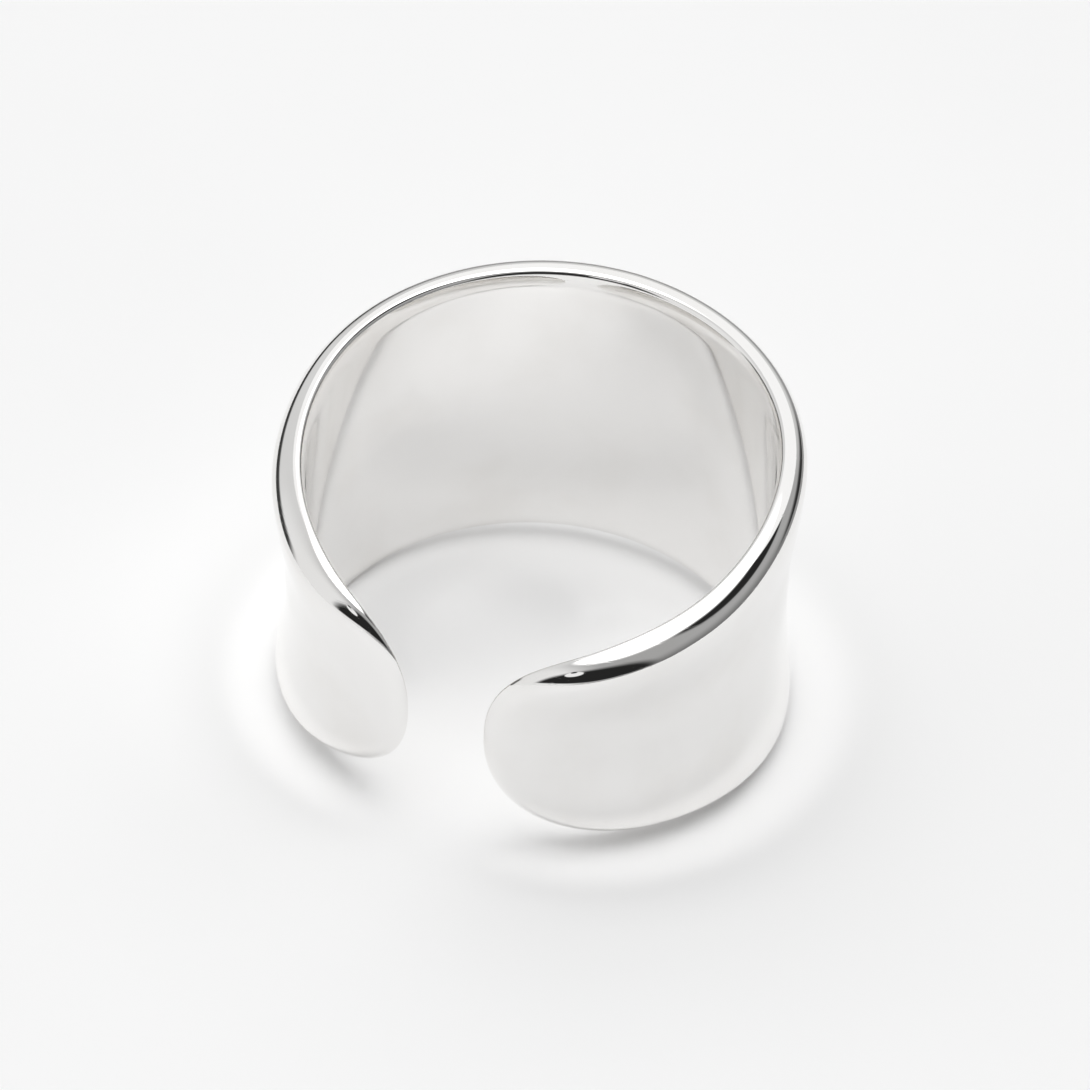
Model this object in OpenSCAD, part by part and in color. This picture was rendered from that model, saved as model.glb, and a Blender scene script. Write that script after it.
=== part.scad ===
// Open cuff ring: one wide band of polished silver whose outside curves in
// between two flared rims. It narrows into two rounded lobes with a gap between.
// Sizes are in millimetres. +Z is up and the gap faces -Y. The centre of the
// finger opening, halfway up the band, is at the origin.

/* [Finger opening] */
// Inside diameter of the band, which is the ring size
bore_d = 17.3; // [15:0.1:21]
// Gap between the tips of the two lobes
gap_w = 3; // [2:0.1:5]

/* [Band] */
// Height of the band at the back, from rim to rim
band_h = 13.8; // [10:0.1:15]
// Thickness of the flared rims at the back
rim_t = 1.1; // [1:0.05:1.5]
// Thickness of the band halfway up, where its outside curves in
waist_t = 0.75; // [0.6:0.05:0.9]
// Spread of the flare, where more keeps it closer to the rims
flare_power = 1.4; // [1:0.1:2]

/* [Lobes] */
// Length along the band over which each lobe rounds off to its tip
lobe_l = 6.5; // [5:0.1:8]
// Fullness of the rounded end, where 2 is an ellipse and more is squarer
lobe_fullness = 2.25; // [2:0.05:2.6]
// Thickness at the very tips
tip_t = 0.45; // [0.4:0.05:0.7]

/* [Rounded edges] */
// Depth below a rim's crest at which its rounding meets the outside
outer_round = 0.75; // [0.5:0.05:0.9]
// Fullness of that rounding at the back, where 2 is an ellipse and more is squarer
back_fullness = 3; // [2:0.1:3.4]
// Fullness of that rounding at the sides
side_fullness = 2; // [1.6:0.1:2.4]
// Fullness of that rounding on the gap side, where less than 2 comes to an edge
gap_fullness = 1.5; // [1.3:0.1:2]
// Depth below a rim's crest over which the finger opening widens to ease its edge
eased_depth = 1.15; // [0.8:0.05:1.4]
// How far the opening's edge is set back by that
eased_rise = 0.14; // [0.08:0.01:0.18]
// Radius of the edge between the eased wall and the crest
inner_edge = 0.13; // [0.1:0.01:0.2]

/* [Hidden] */

// Steps in which the shell is swept and its section is drawn
body_steps = 33;
lobe_steps = 24;
edge_steps = 3;
outer_steps = 8;
flare_steps = 8;
bore_facets = 180;

// The shell is swept a little inside the opening, which then cuts it true
under_cut = 0.05;
// Angles from the back at which the outer rounding has the fullness of the sides and gap side
side_angle = 75;
gap_side_angle = 130;

bore_r = bore_d/2;
// Radius at which lengths along the band are measured
mid_r = bore_r + 0.5;
degrees_per_mm = 180/(PI*mid_r);
// Slope of the eased wall and distance of a rim's crest from the finger opening
eased_slope = atan(eased_rise/eased_depth);
crest_out = eased_rise + inner_edge*cos(eased_slope);
end_angle = 180 - asin(gap_w/2/(bore_r + crest_out*tip_t/rim_t));
lobe_angle = lobe_l*degrees_per_mm;
lobe_start = end_angle - lobe_angle;

// Rows along one half of the band, from the back to the tip. The columns are the
// angle from the back, then the half height, the rim's thickness and the waist's
// thickness, each as a share of its value at the back
angle_column = 0;
height_column = 1;
rim_column = 2;
waist_column = 3;
band_rows = [
    [0, 1, 1, 1],
    [45, 0.989, 1.01, 1],
    [75, 0.958, 1.02, 1],
    [95, 0.895, 1.05, 1.01],
    [120, 0.784, 1.11, 1.06],
    [145, 0.708, 1.01, 1.01],
    [end_angle, 0.755, tip_t/rim_t, tip_t/waist_t],
];
last_row = len(band_rows) - 1;

// Slope of a column at row i, taken between its neighbours and level at the back
function row_slope(i, column) =
    let (before = band_rows[max(i - 1, 0)], after = band_rows[min(i + 1, last_row)])
    i == 0 ? 0 : (after[column] - before[column])/(after[angle_column] - before[angle_column]);

// Smooth value of a column at an angle from the back
function along(angle, column) =
    let (i = max([for (k = [0 : last_row - 1]) band_rows[k][angle_column] <= angle ? k : 0]))
    let (from = band_rows[i], to = band_rows[i + 1])
    let (span = to[angle_column] - from[angle_column], t = (angle - from[angle_column])/span)
    from[column]*(2*t^3 - 3*t^2 + 1)
        + to[column]*(3*t^2 - 2*t^3)
        + span*row_slope(i, column)*(t^3 - 2*t^2 + t)
        + span*row_slope(i + 1, column)*(t^3 - t^2);

function half_height(angle) = band_h/2*along(angle, height_column);

// Stations on the rim of one half, as [angle, height]: the body, then the lobe,
// whose end is a quarter of a squared-off ellipse in the unrolled band
function body_station(angle) = [angle, half_height(angle)];
function lobe_station(turn) =
    let (angle = lobe_start + lobe_angle*sin(turn)^(2/lobe_fullness))
    [angle, turn == 90 ? 0 : half_height(angle)*cos(turn)^(2/lobe_fullness)];
stations = concat(
    [for (i = [0 : body_steps - 1]) body_station(lobe_start*i/body_steps)],
    [for (i = [0 : lobe_steps]) lobe_station(90*i/lobe_steps)]
);
last_station = len(stations) - 1;

// A station in the unrolled band, as [length along the band, height]
function unrolled(i) = [stations[i][0]/degrees_per_mm, stations[i][1]];

// Direction straight out of the rim in the unrolled band
function outward(i) =
    i == 0 ? [0, 1]
    : i == last_station ? [1, 0]
    : let (d = unrolled(i + 1) - unrolled(i - 1)) [-d[1], d[0]]/norm(d);

// A point as [length along the band, height, radius], inset from the rim and then
// lowered to a share of its height
function section_point(i, inset, height_share, r) =
    let (p = unrolled(i) - outward(i)*inset)
    [p[0], p[1]*height_share, r];

// The inner edge gets smaller where the rim is thinner than at the back
function edge_share(angle) = min(along(angle, rim_column), 1);
function fullness(angle) =
    lookup(angle, [[0, back_fullness], [side_angle, side_fullness], [gap_side_angle, gap_fullness]]);

// Upper half of a section: inside wall, its eased part, inner edge, outer rounding, outside
function upper_section(i) =
    let (angle = stations[i][0], rim = rim_t*along(angle, rim_column))
    let (waist = min(waist_t*along(angle, waist_column), rim), share = edge_share(angle))
    let (edge = inner_edge*share, edge_drop = edge*(1 - sin(eased_slope)))
    let (run_on = (eased_depth - edge_drop)*under_cut/eased_rise, power = 2/fullness(angle))
    concat(
        [for (up = [0, 1]) section_point(i, eased_depth + run_on, up, bore_r - under_cut*share)],
        [for (k = [0 : edge_steps])
            let (turn = eased_slope + (90 - eased_slope)*k/edge_steps)
            let (out = eased_rise*share + edge*(cos(eased_slope) - cos(turn)))
            section_point(i, edge*(1 - sin(turn)), 1, bore_r + out)],
        [for (k = [1 : outer_steps])
            let (turn = 90*k/outer_steps, crest = crest_out*share)
            let (out = crest + (rim - crest)*sin(turn)^power)
            section_point(i, outer_round*(1 - cos(turn)^power), 1, bore_r + out)],
        [for (k = [1 : flare_steps])
            let (up = 1 - k/flare_steps, flare = (1 - cos(180*up^flare_power))/2)
            section_point(i, outer_round, up, bore_r + waist + (rim - waist)*flare)]
    );

half_count = len(upper_section(0));
loop_count = 2*(half_count - 1);

// Whole section: the upper half, then its mirror image back to the inside
function section(i) =
    let (upper = upper_section(i))
    concat(upper, [for (j = [half_count - 2 : -1 : 1]) [upper[j][0], -upper[j][1], upper[j][2]]]);

function rolled(p, side) =
    let (angle = side*p[0]*degrees_per_mm)
    [p[2]*sin(angle), p[2]*cos(angle), p[1]];

// Sections run from the left tip round the back to the right tip
section_count = 2*last_station + 1;
band_points = [
    for (k = [0 : section_count - 1])
        let (side = k < last_station ? -1 : 1)
        for (p = section(abs(k - last_station))) rolled(p, side)
];

// Index of point j of section k. At a tip the two halves share one row of points,
// the inside wall shrinks to its edge and so does the outside
wall_edge = 1;
flare_edge = half_count - 1 - flare_steps;
function tip_index(j) = min(max(min(j, loop_count - j), wall_edge), flare_edge);
function index(k, j) =
    let (wrapped = j%loop_count)
    k*loop_count + (k == 0 || k == section_count - 1 ? tip_index(wrapped) : wrapped);

function distinct(t) = t[0] != t[1] && t[1] != t[2] && t[2] != t[0];
function quad(k, j) =
    let (a = index(k, j), b = index(k, j + 1), c = index(k + 1, j + 1), d = index(k + 1, j))
    [for (t = [[a, b, c], [a, c, d]]) if (distinct(t)) t];
band_faces = [for (k = [0 : section_count - 2], j = [0 : loop_count - 1]) each quad(k, j)];

// Middle of the band's mass in Y, from wedges between the origin and each face
function total(list) = list*[for (v = list) 1];
function corner(t, n) = band_points[t[n]];
function wedge(t) = corner(t, 0)*cross(corner(t, 1), corner(t, 2));
function wedge_y(t) = (corner(t, 0) + corner(t, 1) + corner(t, 2))[1]/4;
mass_y = total([for (t = band_faces) wedge(t)*wedge_y(t)])/total([for (t = band_faces) wedge(t)]);

// The gap side is light and its rims are low, so on a table the ring leans toward
// the gap until the middle of its mass is over the stretch of rim that it rests on
function crest_y(i) =
    let (angle = stations[i][0])
    (bore_r + crest_out*edge_share(angle))*cos(angle);
function lean_on(i) = atan((stations[i][1] - stations[i + 1][1])/(crest_y(i) - crest_y(i + 1)));
function mass_over(i) = mass_y - stations[i + 1][1]*tan(lean_on(i));
function rests_on(i) = mass_over(i) >= crest_y(i + 1) && mass_over(i) <= crest_y(i);
rest_lean = [for (i = [0 : body_steps - 1]) if (rests_on(i)) lean_on(i)][0];

// The band is one piece, with the finger opening cut true through it
module band() {
    color("silver")
    rotate([rest_lean, 0, 0])
    difference() {
        polyhedron(band_points, band_faces);
        cylinder(d = bore_d, h = band_h + 2, center = true, $fn = bore_facets);
    }
}

band();
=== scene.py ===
import bpy
import math
from mathutils import Matrix, Vector


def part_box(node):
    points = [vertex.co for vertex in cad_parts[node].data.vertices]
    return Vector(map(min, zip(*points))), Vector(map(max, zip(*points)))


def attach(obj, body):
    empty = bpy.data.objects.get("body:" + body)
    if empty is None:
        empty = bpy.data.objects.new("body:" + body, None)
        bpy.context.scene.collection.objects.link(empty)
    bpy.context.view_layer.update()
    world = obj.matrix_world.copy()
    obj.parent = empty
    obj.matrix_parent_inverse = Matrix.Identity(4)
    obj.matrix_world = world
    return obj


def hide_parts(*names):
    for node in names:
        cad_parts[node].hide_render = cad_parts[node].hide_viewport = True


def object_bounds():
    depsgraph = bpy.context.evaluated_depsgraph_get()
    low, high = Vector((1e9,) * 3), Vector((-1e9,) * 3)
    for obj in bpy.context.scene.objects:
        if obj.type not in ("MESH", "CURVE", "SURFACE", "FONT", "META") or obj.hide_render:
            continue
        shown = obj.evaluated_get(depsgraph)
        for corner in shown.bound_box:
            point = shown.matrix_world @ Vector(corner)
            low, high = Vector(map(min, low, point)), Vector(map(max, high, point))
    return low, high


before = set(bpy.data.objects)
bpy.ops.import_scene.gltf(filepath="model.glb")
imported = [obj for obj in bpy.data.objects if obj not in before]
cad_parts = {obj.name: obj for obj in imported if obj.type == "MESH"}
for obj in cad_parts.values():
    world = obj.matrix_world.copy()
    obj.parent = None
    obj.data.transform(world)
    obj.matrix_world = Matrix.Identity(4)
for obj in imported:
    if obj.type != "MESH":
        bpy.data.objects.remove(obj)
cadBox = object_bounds()
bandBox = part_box("band")
mmPerMetre = 1000
print("frame loaded, ring is %.1f mm wide" % ((bandBox[1][0] - bandBox[0][0]) * mmPerMetre))

# The polished band, in millimetres and degrees
band = {
    "openingDiameter": 17.3,
    "gap": 3.0,  # between the tips of the lobes
    "height": 13.78,  # at the back, rim to rim
    "rimThickness": 1.1,
    "waistThickness": 0.75,
    "tipThickness": 0.45,
    "lengthDepth": 0.5,  # how deep in the metal the lengths along the band are measured
    "flarePower": 1.4,  # more keeps the flare closer to the rims
    "lobeLength": 6.5,
    "lobeFullness": 2.25,  # 2 is an ellipse, more is squarer
    "tipHeight": 0.755,  # share of the height at the back that the lobe's curve starts from
    "easedDepth": 1.15,  # depth below the crest over which the opening widens a little
    "easedRise": 0.11,
    "easedPower": 3,  # how late it opens, so how steep it gets
    "innerEdge": ((0, 0.28), (60, 0.24), (130, 0.13)),  # radius at its edge, by angle from the back
    "outerRound": 0.75,
    "outerFullness": ((0, 3.0), (75, 2.0), (130, 1.5)),  # at angles from the back
    "lean": 8.1506,  # toward the gap, as the ring rests by itself
    "bodyStations": 150,
    "lobeStations": 60,
    "rimPoints": 14,  # in each stretch of the rim's rounding
    "flarePoints": 26,
    "wallPoints": 8,
}

# Angle from the back, then height, rim thickness and waist thickness as shares of those at the back
bandRows = [
    (0, 1, 1, 1),
    (45, 0.989, 1.01, 1),
    (75, 0.958, 1.02, 1),
    (95, 0.895, 1.05, 1.01),
    (120, 0.784, 1.11, 1.06),
    (145, 0.708, 1.01, 1.01),
]


def smoothColumn(rows, angle, column):
    # Cubic through the rows, level at the back
    def slope(i):
        before, after = rows[max(i - 1, 0)], rows[min(i + 1, len(rows) - 1)]
        return 0 if i == 0 else (after[column] - before[column]) / (after[0] - before[0])

    i = max(k for k in range(len(rows) - 1) if rows[k][0] <= angle)
    start, end = rows[i], rows[i + 1]
    span = end[0] - start[0]
    t = (angle - start[0]) / span
    value = start[column] * (2 * t**3 - 3 * t**2 + 1) + end[column] * (3 * t**2 - 2 * t**3)
    value += span * slope(i) * (t**3 - 2 * t**2 + t)
    value += span * slope(i + 1) * (t**3 - t**2)
    return value


def straightValue(rows, angle):
    # Straight from row to row, and level after the last
    for (start, low), (end, high) in zip(rows, rows[1:]):
        if angle < end:
            return low + (high - low) * (angle - start) / (end - start)
    return rows[-1][1]


def sectionPoints(rim, waist, angle):
    # Upper half of the section as (inset, share of height, distance out from the opening)
    steps = band["rimPoints"]
    fullness = straightValue(band["outerFullness"], angle)
    thin = min(1, rim / band["rimThickness"])
    edge = straightValue(band["innerEdge"], angle) * thin
    eased = band["easedRise"] * thin
    slope = math.atan(band["easedPower"] * band["easedRise"] / band["easedDepth"])
    edgeDrop = edge * (1 - math.sin(slope))
    points = [(band["easedDepth"], k / band["wallPoints"], 0) for k in range(band["wallPoints"])]
    for k in range(steps):
        up = k / steps
        inset = band["easedDepth"] + (edgeDrop - band["easedDepth"]) * up
        points.append((inset, 1, eased * up ** band["easedPower"]))
    for k in range(steps):
        turn = slope + (math.pi / 2 - slope) * k / steps
        out = eased + edge * (math.cos(slope) - math.cos(turn))
        points.append((edge * (1 - math.sin(turn)), 1, out))
    crest = eased + edge * math.cos(slope)
    for k in range(2 * steps + 1):
        turn = math.pi / 4 * k / steps
        side = math.sin(turn) ** (2 / fullness)
        drop = 1 - abs(math.cos(turn)) ** (2 / fullness)
        points.append((band["outerRound"] * drop, 1, crest + (rim - crest) * side))
    for k in range(1, band["flarePoints"] + 1):
        up = 1 - k / band["flarePoints"]
        flare = (1 - math.cos(math.pi * up ** band["flarePower"])) / 2
        points.append((band["outerRound"], up, waist + (rim - waist) * flare))
    return points


def bandStations(rows, lobeStart, lobeAngle):
    # Stations along one half: angle from the back and height of the rim
    def halfHeight(angle):
        return band["height"] / 2 * smoothColumn(rows, angle, 1)

    stations = []
    for i in range(band["bodyStations"]):
        angle = lobeStart * i / band["bodyStations"]
        stations.append((angle, halfHeight(angle)))
    for i in range(band["lobeStations"] + 1):
        turn = math.radians(90 * i / band["lobeStations"])
        angle = lobeStart + lobeAngle * math.sin(turn) ** (2 / band["lobeFullness"])
        drop = abs(math.cos(turn)) ** (2 / band["lobeFullness"])
        stations.append((angle, 0 if i == band["lobeStations"] else halfHeight(angle) * drop))
    return stations


def buildBand():
    openingRadius = band["openingDiameter"] / 2
    degreesPerMm = 180 / (math.pi * (openingRadius + band["lengthDepth"]))
    tipRim = band["tipThickness"] / band["rimThickness"]
    tipWaist = band["tipThickness"] / band["waistThickness"]
    tipRadius = openingRadius + (band["easedRise"] + band["innerEdge"][-1][1]) * tipRim
    endAngle = 180 - math.degrees(math.asin(band["gap"] / 2 / tipRadius))
    lobeAngle = band["lobeLength"] * degreesPerMm
    rows = bandRows + [(endAngle, band["tipHeight"], tipRim, tipWaist)]
    stations = bandStations(rows, endAngle - lobeAngle, lobeAngle)
    last = len(stations) - 1

    def outward(i):
        # Direction straight out of the rim in the unrolled band
        if i == 0:
            return (0, 1)
        if i == last:
            return (1, 0)
        along = (stations[i + 1][0] - stations[i - 1][0]) / degreesPerMm
        up = stations[i + 1][1] - stations[i - 1][1]
        length = math.hypot(along, up)
        return (-up / length, along / length)

    lean = Matrix.Rotation(math.radians(band["lean"]), 3, "X")
    vertices = []
    loops = []
    for k in range(-last, last + 1):
        i, side = abs(k), -1 if k < 0 else 1
        angle, height = stations[i]
        rim = band["rimThickness"] * smoothColumn(rows, angle, 2)
        waist = min(band["waistThickness"] * smoothColumn(rows, angle, 3), rim)
        half = sectionPoints(rim, waist, angle)
        normal = outward(i)
        upper = []
        for inset, share, out in half:
            along = angle / degreesPerMm - normal[0] * inset
            upper.append((along, (height - normal[1] * inset) * share, openingRadius + out))
        whole = upper + [(a, -z, r) for a, z, r in upper[-2:0:-1]]
        wallEdge, flareEdge = band["wallPoints"], len(half) - 1 - band["flarePoints"]
        loop = []
        made = {}
        for j in range(len(whole)):
            if i == last:  # at a tip both halves share one row of points
                mirrored = min(j, len(whole) - j)
                j = min(max(mirrored, wallEdge), flareEdge)
            if j not in made:
                along, z, r = whole[j]
                turn = math.radians(side * along * degreesPerMm)
                made[j] = len(vertices)
                upright = Vector((r * math.sin(turn), r * math.cos(turn), z))
                vertices.append(lean @ upright / mmPerMetre)
            loop.append(made[j])
        loops.append(loop)

    faces = []
    for first, second in zip(loops, loops[1:]):
        count = len(first)
        for j in range(count):
            after = (j + 1) % count
            corners = [first[j], second[j], second[after], first[after]]
            kept = [c for n, c in enumerate(corners) if c not in corners[:n]]
            if len(kept) > 2:
                faces.append(kept)

    mesh = bpy.data.meshes.new("band")
    mesh.from_pydata(vertices, [], faces)
    mesh.validate()
    mesh.shade_smooth()
    ring = bpy.data.objects.new("polished_band", mesh)
    bpy.context.collection.objects.link(ring)
    print("band built with %d faces" % len(faces))
    return ring


def addNode(tree, kind, **settings):
    node = tree.nodes.new(kind)
    for name, value in settings.items():
        setattr(node, name, value)
    return node


def feed(tree, socket, value):
    if isinstance(value, bpy.types.NodeSocket):
        tree.links.new(value, socket)
    else:
        socket.default_value = value


def addNoise(tree, place, size, detail):
    noise = addNode(tree, "ShaderNodeTexNoise")
    feed(tree, noise.inputs["Vector"], place)
    feed(tree, noise.inputs["Scale"], combine(tree, "DIVIDE", 1, size))
    feed(tree, noise.inputs["Detail"], detail)
    return noise.outputs["Fac"]


def mapRange(tree, value, low, high, toLow, toHigh, soft=False):
    curve = "SMOOTHSTEP" if soft else "LINEAR"
    node = addNode(tree, "ShaderNodeMapRange", interpolation_type=curve)
    tree.links.new(value, node.inputs["Value"])
    ends = {"From Min": low, "From Max": high, "To Min": toLow, "To Max": toHigh}
    for name, number in ends.items():
        node.inputs[name].default_value = number
    return node.outputs["Result"]


def combine(tree, operation, first, second):
    node = addNode(tree, "ShaderNodeMath", operation=operation)
    feed(tree, node.inputs[0], first)
    feed(tree, node.inputs[1], second)
    return node.outputs[0]


# For both materials: detail of the patches, and the noise values between which they fade in
tone = {"patchDetail": 3, "patchFrom": 0.4, "patchTo": 0.75}


def makeSurfaceTone():
    # Patches of another shade over a fine relief. Silver and table each have their own sizes
    group = bpy.data.node_groups.new("surfaceTone", "ShaderNodeTree")
    sockets = {
        "INPUT": (
            ("place", "NodeSocketVector"),
            ("light", "NodeSocketColor"),
            ("shade", "NodeSocketColor"),
            ("patchSize", "NodeSocketFloat"),
            ("reliefSize", "NodeSocketFloat"),
            ("reliefDetail", "NodeSocketFloat"),
            ("reliefDepth", "NodeSocketFloat"),
            ("extraHeight", "NodeSocketFloat"),
        ),
        "OUTPUT": (
            ("colour", "NodeSocketColor"),
            ("patches", "NodeSocketFloat"),
            ("normal", "NodeSocketVector"),
        ),
    }
    for way, pairs in sockets.items():
        for name, kind in pairs:
            group.interface.new_socket(name=name, in_out=way, socket_type=kind)
    start = addNode(group, "NodeGroupInput").outputs
    end = addNode(group, "NodeGroupOutput").inputs

    noise = addNoise(group, start["place"], start["patchSize"], tone["patchDetail"])
    patches = mapRange(group, noise, tone["patchFrom"], tone["patchTo"], 0, 1, soft=True)
    colour = addNode(group, "ShaderNodeMix", data_type="RGBA")
    feed(group, colour.inputs["Factor"], patches)
    feed(group, colour.inputs[6], start["light"])
    feed(group, colour.inputs[7], start["shade"])

    relief = addNoise(group, start["place"], start["reliefSize"], start["reliefDetail"])
    height = combine(group, "MULTIPLY", relief, start["reliefDepth"])
    bump = addNode(group, "ShaderNodeBump")
    bump.inputs["Strength"].default_value = 1
    bump.inputs["Distance"].default_value = 1
    feed(group, bump.inputs["Height"], combine(group, "ADD", height, start["extraHeight"]))

    feed(group, end["colour"], colour.outputs[2])
    feed(group, end["patches"], patches)
    feed(group, end["normal"], bump.outputs["Normal"])
    return group


surfaceTone = makeSurfaceTone()


def addTone(tree, shader, **values):
    group = addNode(tree, "ShaderNodeGroup", node_tree=surfaceTone)
    for name, value in values.items():
        feed(tree, group.inputs[name], value)
    tree.links.new(group.outputs["colour"], shader.inputs["Base Color"])
    tree.links.new(group.outputs["normal"], shader.inputs["Normal"])
    return group.outputs["patches"]


# Polished silver, lengths in metres
silver = {
    "bright": (0.91, 0.903, 0.893, 1),
    "dull": (0.875, 0.865, 0.85, 1),
    "patch": 0.004,  # size of the duller patches
    "smoothest": 0.03,
    "roughest": 0.075,
    "lineLength": 0.003,  # polishing lines, which run around the band
    "lineWidth": 0.00004,
    "lineDepth": 0.0000004,
    "lineDetail": 2,
    "lineFrom": 0.58,  # noise values between which a line fades in, lower for more lines
    "lineTo": 0.72,
    "lineDulling": 0.8,
    "ripple": 0.0025,  # slow ripples that hand polishing leaves
    "rippleDetail": 0,
    "rippleDepth": 0.000002,
}


def makeSilver():
    material = bpy.data.materials.new("polished_silver")
    material.use_nodes = True
    tree = material.node_tree
    shader = tree.nodes["Principled BSDF"]
    shader.inputs["Metallic"].default_value = 1

    # The upright band unrolled: length around it and height
    coords = addNode(tree, "ShaderNodeTexCoord")
    upright = addNode(tree, "ShaderNodeVectorRotate", rotation_type="X_AXIS")
    upright.inputs["Angle"].default_value = -math.radians(band["lean"])
    tree.links.new(coords.outputs["Object"], upright.inputs["Vector"])
    place = upright.outputs["Vector"]
    split = addNode(tree, "ShaderNodeSeparateXYZ")
    tree.links.new(place, split.inputs["Vector"])
    angle = combine(tree, "ARCTAN2", split.outputs["X"], split.outputs["Y"])
    around = combine(tree, "MULTIPLY", angle, band["openingDiameter"] / 2 / mmPerMetre)
    stretched = combine(tree, "MULTIPLY", around, silver["lineWidth"] / silver["lineLength"])
    unrolled = addNode(tree, "ShaderNodeCombineXYZ")
    tree.links.new(stretched, unrolled.inputs["X"])
    tree.links.new(split.outputs["Z"], unrolled.inputs["Y"])

    noise = addNoise(tree, unrolled.outputs["Vector"], silver["lineWidth"], silver["lineDetail"])
    lines = mapRange(tree, noise, silver["lineFrom"], silver["lineTo"], 0, 1, soft=True)
    dullness = addTone(
        tree,
        shader,
        place=place,
        light=silver["bright"],
        shade=silver["dull"],
        patchSize=silver["patch"],
        reliefSize=silver["ripple"],
        reliefDetail=silver["rippleDetail"],
        reliefDepth=silver["rippleDepth"],
        extraHeight=combine(tree, "MULTIPLY", lines, -silver["lineDepth"]),
    )
    dulled = combine(tree, "MULTIPLY", lines, silver["lineDulling"])
    worn = combine(tree, "MAXIMUM", dullness, dulled)
    roughness = mapRange(tree, worn, 0, 1, silver["smoothest"], silver["roughest"])
    tree.links.new(roughness, shader.inputs["Roughness"])
    print("silver ready")
    return material


# White table, lengths in metres
table = {
    "size": 1.2,
    "light": (0.955, 0.955, 0.955, 1),
    "shade": (0.94, 0.94, 0.94, 1),
    "patch": 0.03,
    "grain": 0.0004,
    "grainDetail": 2,
    "grainDepth": 0.000003,
    "roughness": 0.85,
    "shine": 0.1,
}


def makeTableWhite():
    material = bpy.data.materials.new("table_white")
    material.use_nodes = True
    tree = material.node_tree
    shader = tree.nodes["Principled BSDF"]
    shader.inputs["Roughness"].default_value = table["roughness"]
    shader.inputs["Specular IOR Level"].default_value = table["shine"]
    coords = addNode(tree, "ShaderNodeTexCoord")
    addTone(
        tree,
        shader,
        place=coords.outputs["Object"],
        light=table["light"],
        shade=table["shade"],
        patchSize=table["patch"],
        reliefSize=table["grain"],
        reliefDetail=table["grainDetail"],
        reliefDepth=table["grainDepth"],
    )
    return material


def buildTable():
    half = table["size"] / 2
    z = cadBox[0][2]
    corners = [(-half, -half, z), (half, -half, z), (half, half, z), (-half, half, z)]
    mesh = bpy.data.meshes.new("table")
    mesh.from_pydata(corners, [], [(0, 1, 2, 3)])
    mesh.materials.append(makeTableWhite())
    top = bpy.data.objects.new("table", mesh)
    bpy.context.collection.objects.link(top)
    print("table laid")


# Soft white studio, each part of the room laid over the ones before. Angles are in degrees,
# azimuth from the gap side toward +X. A round part is full up to one radius and gone at another.
# A strip is full up to inner and gone at outer on its sides. It stands on its bottom and fades
# from low to high
studio = {
    "walls": 0.4,
    "left": {"azimuth": -130, "elevation": 28, "full": 45, "fade": 75, "light": 0.7},
    "fill": {"azimuth": -40, "elevation": 5, "full": 30, "fade": 60, "light": 0.85},
    "lowRight": {
        "azimuth": 90, "outer": 60, "inner": 40,
        "bottom": 0, "low": 4, "high": 34, "light": 0.2,
    },
    "backdrop": {
        "azimuth": 175, "outer": 62, "inner": 40,
        "bottom": 0, "low": 12, "high": 30, "light": 0.32,
    },
    "horizon": {
        "azimuth": 140, "outer": 32, "inner": 20,
        "bottom": 12, "low": 24, "high": 46, "light": 0.03,
    },
    "farLine": {
        "azimuth": 252, "outer": 44, "inner": 30,
        "bottom": 0, "low": 10, "high": 17, "light": 0.05,
    },
    "gap": {"azimuth": 92, "elevation": 62, "full": 18, "fade": 23, "light": 0.02},
    "overhead": {"azimuth": 190, "elevation": 68, "full": 33, "fade": 35, "light": 1.0},
    "core": {"azimuth": 5, "elevation": 82, "full": 17, "fade": 30, "light": 2.93},
    "opening": {
        "azimuth": 12, "outer": 46, "inner": 37,
        "bottom": 7, "low": 45, "high": 55, "light": 0.02,
    },
    "window": {"azimuth": -6, "elevation": 32, "full": 6, "fade": 7, "light": 0.9},
    "eye": {"azimuth": -9, "elevation": 37, "full": 2, "fade": 2.5, "light": 0.02},
}


def direction(azimuth, elevation):
    turn, rise = math.radians(azimuth), math.radians(elevation)
    flat = math.cos(rise)
    return Vector((flat * math.sin(turn), -flat * math.cos(turn), math.sin(rise)))


stripFoot = 0.05  # height over which a strip fades in below its bottom, where the zenith is at 1


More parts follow.
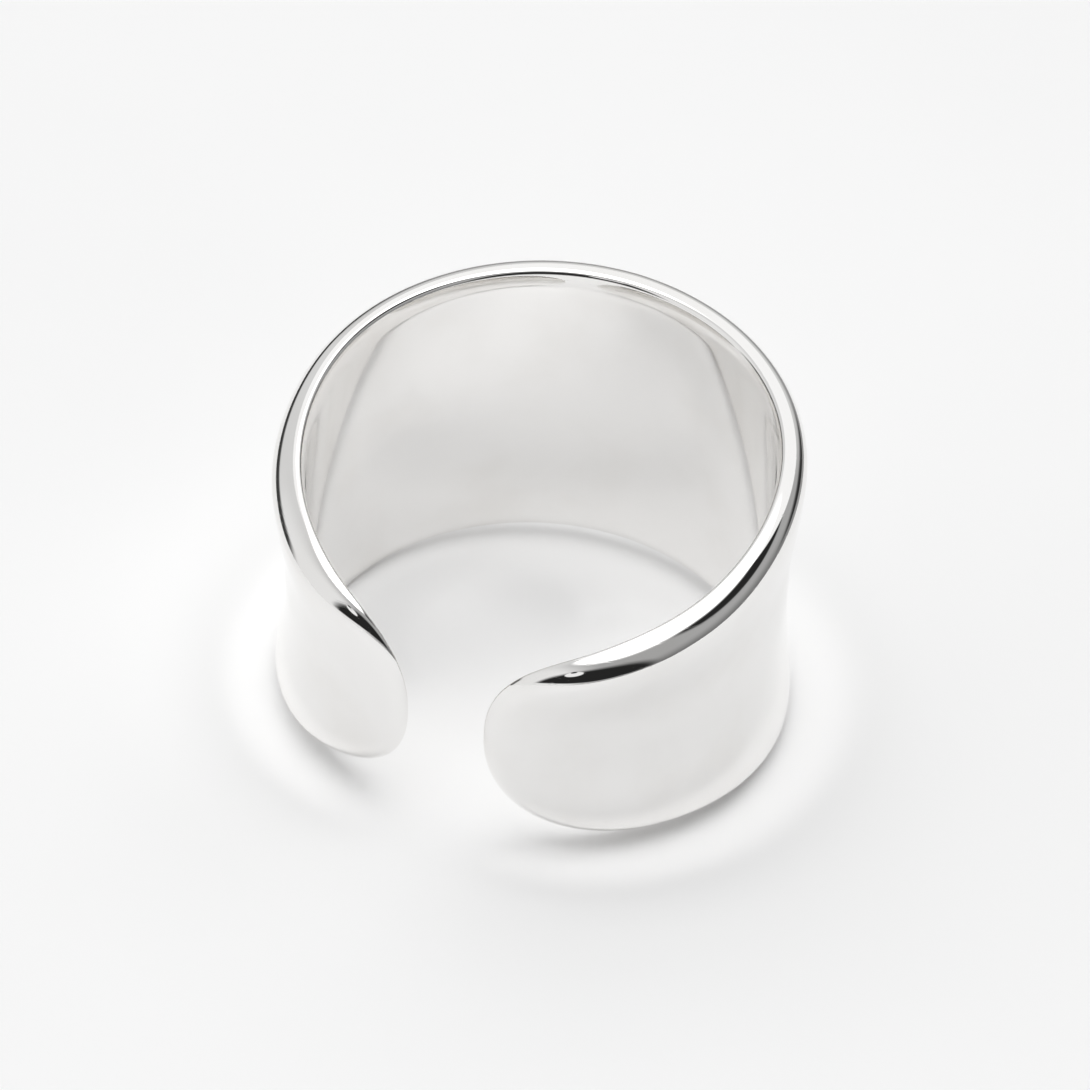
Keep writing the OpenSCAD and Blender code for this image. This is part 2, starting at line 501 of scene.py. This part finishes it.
def addStudio():
    world = bpy.data.worlds.new("studio")
    bpy.context.scene.world = world
    world.use_nodes = True
    tree = world.node_tree
    coords = addNode(tree, "ShaderNodeTexCoord")
    split = addNode(tree, "ShaderNodeSeparateXYZ")
    tree.links.new(coords.outputs["Generated"], split.inputs["Vector"])

    def around(azimuth, elevation, gone, full):
        # 1 near a direction and 0 far from it
        toward = addNode(tree, "ShaderNodeVectorMath", operation="DOT_PRODUCT")
        toward.inputs[1].default_value = direction(azimuth, elevation)
        tree.links.new(coords.outputs["Generated"], toward.inputs[0])
        low, high = math.cos(math.radians(gone)), math.cos(math.radians(full))
        return mapRange(tree, toward.outputs["Value"], low, high, 0, 1, soft=True)

    def discMask(part):
        return around(part["azimuth"], part["elevation"], part["fade"], part["full"])

    def stripMask(part):
        side = around(part["azimuth"], 0, part["outer"], part["inner"])
        rows = ("bottom", "low", "high")
        bottom, low, high = (math.sin(math.radians(part[row])) for row in rows)
        above = mapRange(tree, split.outputs["Z"], bottom - stripFoot, bottom, 0, 1, soft=True)
        below = mapRange(tree, split.outputs["Z"], low, high, 1, 0, soft=True)
        return combine(tree, "MULTIPLY", side, combine(tree, "MULTIPLY", above, below))

    light = studio["walls"]
    for name, part in studio.items():
        if name == "walls":
            continue
        blend = addNode(tree, "ShaderNodeMix", data_type="FLOAT")
        feed(tree, blend.inputs["Factor"], stripMask(part) if "bottom" in part else discMask(part))
        feed(tree, blend.inputs["A"], light)
        feed(tree, blend.inputs["B"], part["light"])
        light = blend.outputs["Result"]
    background = tree.nodes["Background"]
    background.inputs["Color"].default_value = (1, 1, 1, 1)
    tree.links.new(light, background.inputs["Strength"])
    print("studio set")


# Camera, angles in degrees from the gap side, distances in metres
camera = {
    "azimuth": 18.9,
    "elevation": 38.64,
    "roll": 5.69,
    "distance": 0.20743,
    "aim": (0.00002, 0.00055, 0.00065),
    "lens": 183.14,  # millimetres
    "sensor": 36.0,
    "nearest": 0.01,
    "farthest": 5,
}


def addCamera():
    data = bpy.data.cameras.new("camera")
    data.lens = camera["lens"]
    data.sensor_width = camera["sensor"]
    data.clip_start, data.clip_end = camera["nearest"], camera["farthest"]
    eye = bpy.data.objects.new("camera", data)
    back = direction(camera["azimuth"], camera["elevation"])
    azimuth, roll = math.radians(camera["azimuth"]), math.radians(camera["roll"])
    right = Vector((math.cos(azimuth), math.sin(azimuth), 0))
    up = back.cross(right)
    rolledRight = right * math.cos(roll) + up * math.sin(roll)
    rolledUp = up * math.cos(roll) - right * math.sin(roll)
    pose = Matrix((rolledRight, rolledUp, back)).transposed().to_4x4()
    pose.translation = Vector(camera["aim"]) + back * camera["distance"]
    eye.matrix_world = pose
    bpy.context.collection.objects.link(eye)
    bpy.context.scene.camera = eye
    print("camera placed")


ring = buildBand()
ring.data.materials.append(makeSilver())
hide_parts("band")
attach(ring, "root")
buildTable()
addStudio()
addCamera()
bpy.context.scene.view_settings.view_transform = "Standard"
bpy.context.scene.cycles.glossy_bounces = 10  # light bounces many times inside a polished band
bpy.context.scene.cycles.blur_glossy = 0.1
